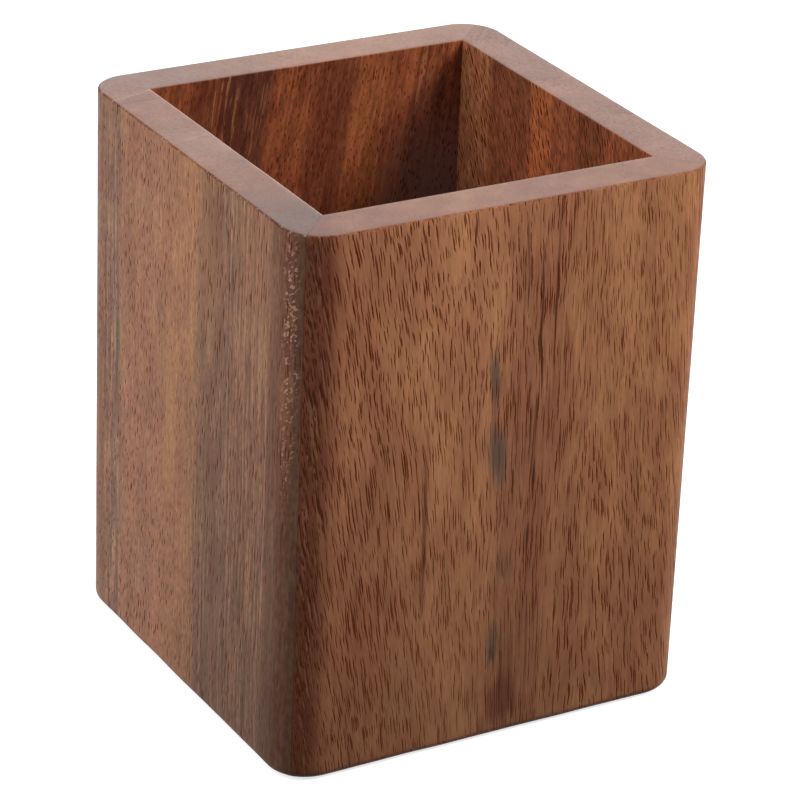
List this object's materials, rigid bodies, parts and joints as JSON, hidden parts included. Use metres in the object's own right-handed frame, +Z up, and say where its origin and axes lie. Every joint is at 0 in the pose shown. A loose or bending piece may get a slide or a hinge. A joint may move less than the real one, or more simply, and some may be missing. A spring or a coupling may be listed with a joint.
{
  "type": "pen holder",
  "caption": "Square open-topped wooden desk cup for pens, with mitred walls, rounded upright corners and a base panel let into grooves.",
  "frame": {"origin": "middle of the flat underside, which stands on the desk", "axes": "+Z up out of the open mouth, -Y out of the front wall, +X to the right along the front wall"},
  "size_m": [0.08, 0.08, 0.1],
  "materials": {
    "front_wood": "oiled satin, orange-brown flat-sawn hardwood with long dark vessel lines",
    "right_wood": "oiled satin, reddish-brown hardwood with light figured bands",
    "back_wood": "oiled satin, red-brown hardwood with dark and orange bands and open pores",
    "left_wood": "oiled satin, grey-brown quarter-sawn hardwood with fine straight grain",
    "base_wood": "oiled satin, brown hardwood"
  },
  "bodies": {
    "root": {"front_wall": "front_wood", "right_wall": "right_wood", "back_wall": "back_wood", "left_wall": "left_wood", "base_panel": "base_wood"}
  },
  "joints": []
}
